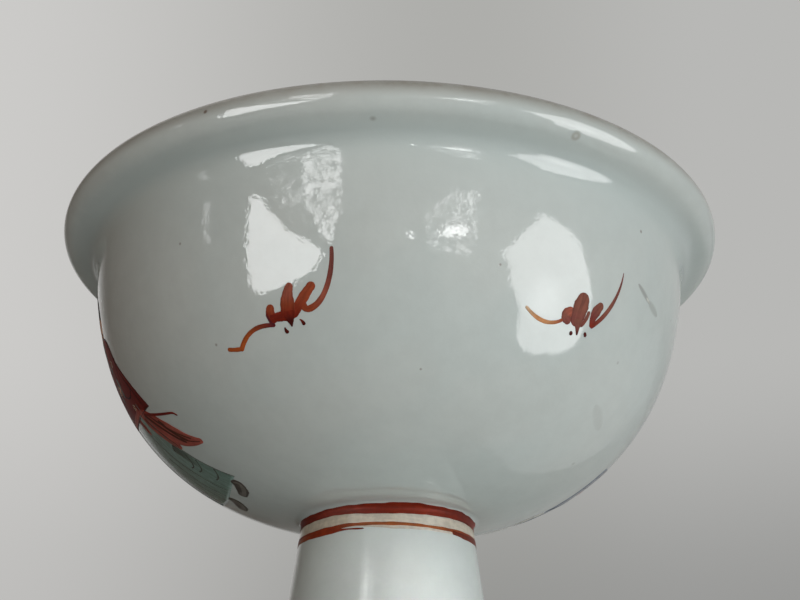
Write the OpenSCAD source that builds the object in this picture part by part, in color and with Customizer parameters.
// Porcelain stem cup: a deep bowl with a rolled lip, luted onto a hollow spreading stem,
// glazed inside and out, with iron-red bands, bats and two robed figures in raised enamel.
// The axis of the cup is Z, its foot stands on Z = 0 and its front faces -Y.

/* [Bowl] */
// Diameter over the lip
rim_diameter = 88; // [80:1:100]
// Height from the foot to the top of the lip
cup_height = 84; // [78:1:96]
// Thickness of the bowl's wall, glaze included
wall_thickness = 2.8; // [2:0.1:4]
// Thickness of the rolled lip
lip_thickness = 4.3; // [3:0.1:5]
// How far the lip stands out past the top of the wall
lip_overhang = 4.9; // [3.5:0.1:6.5]
// Drop from the top of the lip to the top of the wall
flare_drop = 8; // [7:0.1:11]
// Lean of the wall from upright at its top, in degrees
wall_lean = 5.6; // [2:0.2:14]
// Length over which the wall keeps close to that lean
wall_run = 26.8; // [20:0.2:32]
// Slope of the bowl's underside from level at the neck, in degrees
base_slope = 8; // [4:1:20]
// How much lower the middle of the bowl's floor lies than its edge over the neck
floor_dip = 0.8; // [0.2:0.1:1.5]

/* [Stem] */
// Diameter of the neck, at the top of the stem
neck_diameter = 21.8; // [18:0.1:26]
// Height of the corner between stem and bowl
neck_height = 45.9; // [40:0.1:50]
// Radius of the soft corner between stem and bowl
neck_fillet = 0.9; // [0.5:0.1:2]
// Lean of the stem's side from upright at the neck, in degrees
neck_lean = 7.4; // [2:0.2:12]
// Diameter of the foot
foot_diameter = 39; // [34:0.5:46]
// Lean of the stem's side from upright at the foot, in degrees
foot_lean = 20; // [8:1:30]
// Thickness of the stem's wall, glaze included
stem_wall = 3; // [2.2:0.1:4]
// Bevel on both edges of the foot ring
foot_bevel = 0.6; // [0.2:0.1:0.9]
// Depth of the seat where bowl and stem are joined, below the neck's corner
seat_drop = 1.4; // [1.1:0.1:3]
// Thickness of the slip that joins them
slip_thickness = 0.5; // [0.3:0.1:1]

/* [Glaze and enamel] */
// Thickness of each coat of glaze
glaze_thickness = 0.3; // [0.2:0.05:0.5]
// Height of the bare foot ring below the glaze
bare_foot = 1.8; // [1.2:0.1:4]
// Thickness of the painted enamel
enamel_thickness = 0.12; // [0.08:0.02:0.3]
// Drop from the neck's corner to the upper band
band_drop = 0.2; // [0.1:0.1:0.6]
// Height of the upper band
upper_band = 1.3; // [0.8:0.1:2]
// Height of the pale wash between the bands
wash_band = 1; // [0.6:0.1:2]
// Height of the lower band
lower_band = 0.6; // [0.4:0.1:1.2]

/* [Bats] */
// Span of a bat from wing tip to wing tip
bat_span = 13.7; // [10:0.1:17]
// Place of the left bat around the cup, in degrees from the front
left_bat_turn = -18.2; // [-40:0.2:0]
// Height of the left bat
left_bat_height = 60.9; // [57:0.1:66]
// Place of the right bat around the cup, in degrees from the front
right_bat_turn = 36.8; // [15:0.2:60]
// Height of the right bat
right_bat_height = 62.8; // [57:0.1:66]
// Place of the back bat around the cup, in degrees from the front
back_bat_turn = 201; // [180:1:220]
// Height of the back bat
back_bat_height = 62; // [57:0.1:66]

/* [Figures] */
// Height of a standing figure, from shoe to topknot, along the wall
figure_height = 33.5; // [28:0.5:35]
// Height of the middle of a figure
figure_middle = 57.8; // [57:0.1:59]
// Place of the left figure around the cup, in degrees from the front
left_figure_turn = -80; // [-100:1:-75]
// Place of the right figure around the cup, in degrees from the front
right_figure_turn = 122; // [112:1:140]

/* [Hidden] */
$fn = 96;

rim_radius = rim_diameter / 2;
neck_radius = neck_diameter / 2;
foot_radius = foot_diameter / 2;
lip_radius = lip_thickness / 2;
seat_height = neck_height - seat_drop;
stem_top = neck_height - neck_fillet;
wall_top = [rim_radius - lip_overhang, cup_height - flare_drop];
lip_middle = [rim_radius - lip_radius, cup_height - lip_radius];

// Angles at which the rolled lip takes over from the flare, outside and inside
lip_start = -75;
lip_end = 125;
// Shares of a stretch's height that set how long its ends keep their direction
flare_hold = 0.44;
lip_hold = 0.9;
inside_hold = 0.38;
stem_foot_hold = 0.26;
stem_neck_hold = 0.5;
base_run = 3.4;
// Share of a fillet's radius at which a curve's handles draw a round
round_hold = 0.55;

// Point and unit direction of a curve with two end points and two handles
function curve_point(c, t) =
    pow(1 - t, 3) * c[0] + 3 * pow(1 - t, 2) * t * c[1] + 3 * (1 - t) * t * t * c[2] + pow(t, 3) * c[3];
function curve_slope(c, t) =
    pow(1 - t, 2) * (c[1] - c[0]) + 2 * (1 - t) * t * (c[2] - c[1]) + t * t * (c[3] - c[2]);
function unit(v) = v / norm(v);

// A profile is a list of points, each with the direction that leaves the clay: [r, z, out_r, out_z]
function along(c, steps, first = 0) = [
    for (i = [first : steps])
        let (p = curve_point(c, i / steps), d = unit(curve_slope(c, i / steps)))
            [p.x, p.y, d.y, -d.x]
];
function round_edge(middle, radius, from, to, steps, first = 0) = [
    for (i = [first : steps])
        let (a = from + (to - from) * i / steps)
            [middle.x + radius * cos(a), middle.y + radius * sin(a), cos(a), sin(a)]
];
// The same profile on the far side of a wall, run the other way
function far_side(profile, thickness, last = 0) = [
    for (i = [len(profile) - 1 : -1 : last])
        let (p = profile[i])
            [p[0] - thickness * p[2], p[1] - thickness * p[3], -p[2], -p[3]]
];
// Points of a profile moved out of the clay, or into it where out is negative
function moved(profile, out) = [for (p = profile) [p[0] + out * p[2], p[1] + out * p[3]]];
function turned(points) = [for (i = [len(points) - 1 : -1 : 0]) points[i]];
function upright(lean) = [sin(lean), cos(lean)];

stem_curve = [
    [foot_radius, 0],
    [foot_radius, 0] + stem_foot_hold * stem_top * upright(-foot_lean),
    [neck_radius, stem_top] - stem_neck_hold * stem_top * upright(-neck_lean),
    [neck_radius, stem_top]
];
base_edge = [neck_radius + neck_fillet, neck_height];
fillet_curve = [
    stem_curve[3],
    stem_curve[3] + round_hold * neck_fillet * upright(-neck_lean),
    base_edge - round_hold * neck_fillet * upright(90 - base_slope),
    base_edge
];
wall_curve = [
    base_edge,
    base_edge + base_run * upright(90 - base_slope),
    wall_top - wall_run * upright(wall_lean),
    wall_top
];
flare_end = lip_middle + lip_radius * [cos(lip_start), sin(lip_start)];
flare_curve = [
    wall_top,
    wall_top + flare_hold * flare_drop * upright(wall_lean),
    flare_end - lip_hold * lip_radius * upright(-lip_start),
    flare_end
];

stem_side = along(stem_curve, 16);
wall_side = along(wall_curve, 24, 1);
outer_profile = concat(
    stem_side,
    along(fillet_curve, 5, 1),
    wall_side,
    along(flare_curve, 9, 1),
    round_edge(lip_middle, lip_radius, lip_start, 90, 11, 1)
);

inner_wall = far_side(wall_side, wall_thickness);
inside_start = lip_middle + lip_radius * [cos(lip_end), sin(lip_end)];
inside_top = [inner_wall[0][0], inner_wall[0][1]];
inside_curve = [
    inside_start,
    inside_start - inside_hold * flare_drop * upright(lip_end - 180),
    inside_top + inside_hold * flare_drop * upright(wall_lean),
    inside_top
];
floor_start = [inner_wall[len(inner_wall) - 1][0], inner_wall[len(inner_wall) - 1][1]];
floor_curve = [
    floor_start,
    floor_start - neck_radius / 3 * upright(90 - base_slope),
    [neck_radius / 2, floor_start.y - floor_dip],
    [0, floor_start.y - floor_dip]
];
inner_profile = concat(
    round_edge(lip_middle, lip_radius, 90, lip_end, 4),
    along(inside_curve, 9, 1),
    [for (i = [1 : len(inner_wall) - 1]) inner_wall[i]],
    along(floor_curve, 6, 1)
);
hollow_profile = far_side(stem_side, stem_wall);

// A coat over a profile, from one depth outwards to another
module coat(profile, from, to) {
    polygon(concat(moved(profile, from), turned(moved(profile, to))));
}

// Everything between two heights, right of the axis
module slab(low, high) {
    translate([0, low])
        square([rim_radius + lip_overhang, high - low]);
}

// The hollow of the stem, with or without its glaze
module hollow_area(lining) {
    intersection() {
        polygon(concat([[0, neck_height]], moved(hollow_profile, -lining), [[0, -stem_wall]]));
        slab(-stem_wall, seat_height - glaze_thickness + lining);
    }
}

// Half section of the bare clay, bowl and stem in one
module clay_area() {
    difference() {
        polygon(concat(
            moved(outer_profile, -glaze_thickness),
            moved(inner_profile, -glaze_thickness),
            [[0, 0]]
        ));
        hollow_area(glaze_thickness);
    }
}

// Bevels both edges of the foot ring
module foot_area() {
    bevel_out = foot_radius - glaze_thickness / cos(foot_lean) - foot_bevel;
    bevel_in = foot_radius - (stem_wall - glaze_thickness) / cos(foot_lean) + foot_bevel;
    polygon([
        [bevel_in, 0],
        [bevel_out, 0],
        [bevel_out + cup_height, cup_height],
        [0, cup_height],
        [0, bevel_in]
    ]);
}

module bowl() {
    color("gainsboro")
        rotate_extrude()
            intersection() {
                clay_area();
                slab(seat_height, cup_height);
            }
}

module luting_slip() {
    color("silver")
        rotate_extrude()
            intersection() {
                clay_area();
                slab(seat_height - slip_thickness, seat_height);
            }
}

module stem() {
    color("gainsboro")
        rotate_extrude()
            intersection() {
                clay_area();
                slab(0, seat_height - slip_thickness);
                foot_area();
            }
}

module outer_glaze() {
    color("lightgray")
        rotate_extrude()
            intersection() {
                coat(outer_profile, -glaze_thickness, 0);
                slab(bare_foot, cup_height);
            }
}

module inner_glaze() {
    color("whitesmoke")
        rotate_extrude()
            coat(inner_profile, -glaze_thickness, 0);
}

module stem_glaze() {
    color("lightgray")
        rotate_extrude()
            difference() {
                intersection() {
                    hollow_area(glaze_thickness);
                    slab(bare_foot, neck_height);
                }
                hollow_area(0);
            }
}

// A ring of enamel round the neck, its top a given drop below the neck's corner
module neck_ring(drop, height) {
    rotate_extrude()
        intersection() {
            coat(outer_profile, 0, enamel_thickness);
            slab(neck_height - drop - height, neck_height - drop);
        }
}

module upper_neck_band() {
    color("firebrick") neck_ring(band_drop, upper_band);
}

module neck_wash() {
    color("wheat") neck_ring(band_drop + upper_band, wash_band);
}

module lower_neck_band() {
    color("sienna") neck_ring(band_drop + upper_band + wash_band, lower_band);
}

// Place along the wall's curve that lies at a given height
function wall_place(height, low = 0, high = 1, tries = 20) =
    let (middle = (low + high) / 2)
        tries == 0 ? middle
        : curve_point(wall_curve, middle).y < height ? wall_place(height, middle, high, tries - 1)
        : wall_place(height, low, middle, tries - 1);

// Enamel over a drawing that is laid on the wall, its middle at a given turn and height
module painted(turn, height, reach) {
    place = wall_place(height);
    spot = curve_point(wall_curve, place);
    slope = curve_slope(wall_curve, place);
    lean = atan2(slope.x, slope.y);
    sector = 100;
    low = neck_height - neck_fillet / 2;
    high = cup_height - flare_drop / 2;
    skin = [for (p = outer_profile) if (p[1] > low && p[1] < high) p];
    intersection() {
        rotate([0, 0, turn - 90 - sector / 2])
            rotate_extrude(angle = sector)
                coat(skin, 0, enamel_thickness);
        rotate([0, 0, turn])
            translate([0, -spot.x, spot.y])
                rotate([90 + lean, 0, 0])
                    translate([0, 0, -reach])
                        linear_extrude(2 * reach)
                            children();
    }
}

// Outline of a brush stroke along a curve: its width runs from one end's to the other's
cap_step = 30;
function cap(at, width, heading) = [
    for (a = [-90 : cap_step : 90]) at + width / 2 * [cos(heading + a), sin(heading + a)]
];
function heading(c, t) = let (d = curve_slope(c, t)) atan2(d.y, d.x);
function stroke_edge(c, widths, side, steps) = [
    for (i = [1 : steps - 1])
        let (t = i / steps, a = heading(c, t) + 90 * side)
            curve_point(c, t) + (widths[0] + (widths[1] - widths[0]) * t) / 2 * [cos(a), sin(a)]
];
module stroke(c, widths, steps = 8) {
    polygon(concat(
        stroke_edge(c, widths, -1, steps),
        cap(c[3], widths[1], heading(c, 1)),
        turned(stroke_edge(c, widths, 1, steps)),
        cap(c[0], widths[0], heading(c, 0) + 180)
    ));
}
module strokes(list) {
    for (s = list)
        stroke([s[0], s[1], s[2], s[3]], s[4]);
}

// Strokes of the two bats as they are drawn: end, handle, handle, end and the widths there
drawn_span = 13.7;
swooping_bat = [
    [[0.3, 2.9], [-0.6, 1.8], [0, 0.8], [0, -0.3], [1.4, 2]],
    [[0, -0.2], [0, -0.7], [-0.1, -1], [-0.1, -1.4], [1.8, 0.4]],
    [[3.1, 2.6], [2.6, 1.9], [1.8, 0.9], [0.5, -0.1], [1.2, 1]],
    [[5.5, 6.4], [5.5, 3.4], [3.6, -1], [1.6, 0.5], [0.6, 0.8]],
    [[-2, 0.9], [-2.5, 0.2], [-2.1, -0.6], [-0.4, -0.7], [1.1, 1]],
    [[-1.9, -1], [-4.3, -0.6], [-5.8, -1.6], [-6.5, -3.2], [0.7, 0.7]],
    [[-6.5, -3.1], [-7, -3.15], [-7.6, -3.1], [-8.2, -3], [0.7, 0.5]],
    [[-0.7, -1.75], [-0.65, -1.9], [-0.6, -2], [-0.5, -2.1], [0.3, 0.5]],
    [[1.2, -1], [1.3, -1.1], [1.4, -1.2], [1.5, -1.4], [0.3, 0.5]]
];
rising_bat = [
    [[-0.1, 2.1], [0, 1.2], [0, 0.4], [0.1, -0.6], [1.7, 1.6]],
    [[0.1, -0.4], [0.2, -1.1], [0.2, -1.8], [0.2, -2.2], [1, 0.35]],
    [[2.6, 1.7], [2.4, 0.9], [1.9, 0.2], [1.5, -0.6], [1, 0.8]],
    [[5.6, 6.3], [5.3, 3.6], [4.4, 0.8], [1.6, -0.7], [0.25, 0.8]],
    [[-1.4, 0.4], [-1.9, -0.3], [-1.7, -0.9], [-0.4, -0.9], [1.1, 1]],
    [[-7.1, -0.8], [-5.6, -2.2], [-3.4, -2.6], [-1.9, -0.9], [0.35, 0.5]],
    [[-0.75, -2.2], [-0.7, -2.25], [-0.65, -2.3], [-0.6, -2.35], [0.4, 0.45]],
    [[1.35, -1.8], [1.4, -1.9], [1.45, -1.95], [1.5, -2], [0.4, 0.45]]
];
module bat(drawing, turn, height) {
    color("firebrick")
        painted(turn, height, bat_span / 3)
            scale(bat_span / drawn_span)
                strokes(drawing);
}

// A standing figure in a long robe, drawn on the wall with its middle at the origin
drawn_height = 33.5;
sash_width = [1.8, 3.2];
// Share of its drawn reach to the side that the right figure's sash has, over its robe's train
right_sash_reach = 0.78;
function oval(middle, width, height) = [
    for (a = [0 : 15 : 345]) middle + [width / 2 * cos(a), height / 2 * sin(a)]
];
function line(c, steps = 6) = [for (i = [0 : steps - 1]) curve_point(c, i / steps)];

module hair_outline() {
    polygon(oval([0, 14.5], 4.4, 2.6));
    polygon(oval([0.1, 16], 1.7, 1.5));
}
module face_outline() {
    polygon(oval([0.1, 12.2], 3.7, 4.8));
}
module hands_outline() {
    polygon(oval([0.9, 3.6], 1.9, 1.4));
}
module shoes_outline() {
    polygon(oval([3.1, -15.9], 2.6, 2.4));
    polygon(oval([-2.4, -16], 2.8, 2.2));
}
module sash_outline(side) {
    reach = side < 0 ? 1 : right_sash_reach;
    flying = [[2.6, -0.6], [5, -3], [7.4, -7.4], [10.6, -9.2]];
    stroke([for (p = flying) [reach * p.x, p.y]], sash_width);
    stroke([[2, -1], [2.8, -4], [3.2, -8], [2.6, -11]], [1.5, 1.6]);
}
module jacket_outline() {
    polygon(concat(
        line([[1.3, 10.6], [3.6, 10], [5, 9], [5.6, 6]]),
        line([[5.6, 6], [6.4, 3.5], [6.4, 1], [5.4, -0.6]]),
        line([[5.4, -0.6], [3, -1.6], [-3, -1.6], [-5.2, -0.6]]),
        line([[-5.2, -0.6], [-6.6, 1], [-6.4, 3.5], [-5.4, 6]]),
        line([[-5.4, 6], [-4.8, 9], [-3.4, 10], [-1.2, 10.6]])
    ));
}
module robe_outline() {
    polygon(concat(
        line([[4.8, 0], [5.2, -4], [6, -10], [7.2, -14.6]]),
        line([[7.2, -14.6], [3, -16.2], [-3, -16.2], [-7, -14.4]]),
        line([[-7, -14.4], [-6.2, -9], [-5, -4], [-4.8, 0]])
    ));
}
module train_outline() {
    polygon(concat(
        line([[4.8, -3], [9.5, -5], [13.2, -6.8], [15.8, -9.4]]),
        line([[15.8, -9.4], [13.6, -11.8], [9.8, -14.4], [7.2, -14.6]]),
        [[7.2, -14.6], [4.8, -9]]
    ));
}

// Lays a figure's drawing on the wall; the right figure is drawn as the left one is and seen in a mirror
module figure_paint(side) {
    painted(side < 0 ? left_figure_turn : right_figure_turn, figure_middle, figure_height / 3)
        scale(figure_height / drawn_height)
            mirror([side < 0 ? 0 : 1, 0])
                children();
}
module robe(side, colour) {
    color(colour)
        figure_paint(side)
            difference() {
                union() {
                    robe_outline();
                    if (side > 0) train_outline();
                }
                jacket_outline();
                sash_outline(side);
            }
}
module jacket(side, colour) {
    color(colour)
        figure_paint(side)
            difference() {
                jacket_outline();
                sash_outline(side);
                hands_outline();
                face_outline();
            }
}
module sash(side, colour) {
    color(colour) figure_paint(side) sash_outline(side);
}
module skin(side) {
    color("bisque")
        figure_paint(side) {
            difference() {
                face_outline();
                hair_outline();
            }
            hands_outline();
        }
}
module hair(side) {
    color("dimgray") figure_paint(side) hair_outline();
}
module shoes(side) {
    color("dimgray")
        figure_paint(side)
            difference() {
                shoes_outline();
                robe_outline();
            }
}

bowl();
stem();
luting_slip();
outer_glaze();
inner_glaze();
stem_glaze();
upper_neck_band();
neck_wash();
lower_neck_band();
bat(swooping_bat, left_bat_turn, left_bat_height);  // left_bat
bat(rising_bat, right_bat_turn, right_bat_height);  // right_bat
bat(swooping_bat, back_bat_turn, back_bat_height);  // back_bat
robe(-1, "mediumaquamarine");  // left_robe
jacket(-1, "firebrick");  // left_jacket
sash(-1, "lightpink");  // left_sash
skin(-1);  // left_skin
hair(-1);  // left_hair
shoes(-1);  // left_shoes
robe(1, "steelblue");  // right_robe
jacket(1, "darkkhaki");  // right_jacket
sash(1, "lightpink");  // right_sash
skin(1);  // right_skin
hair(1);  // right_hair
shoes(1);  // right_shoes
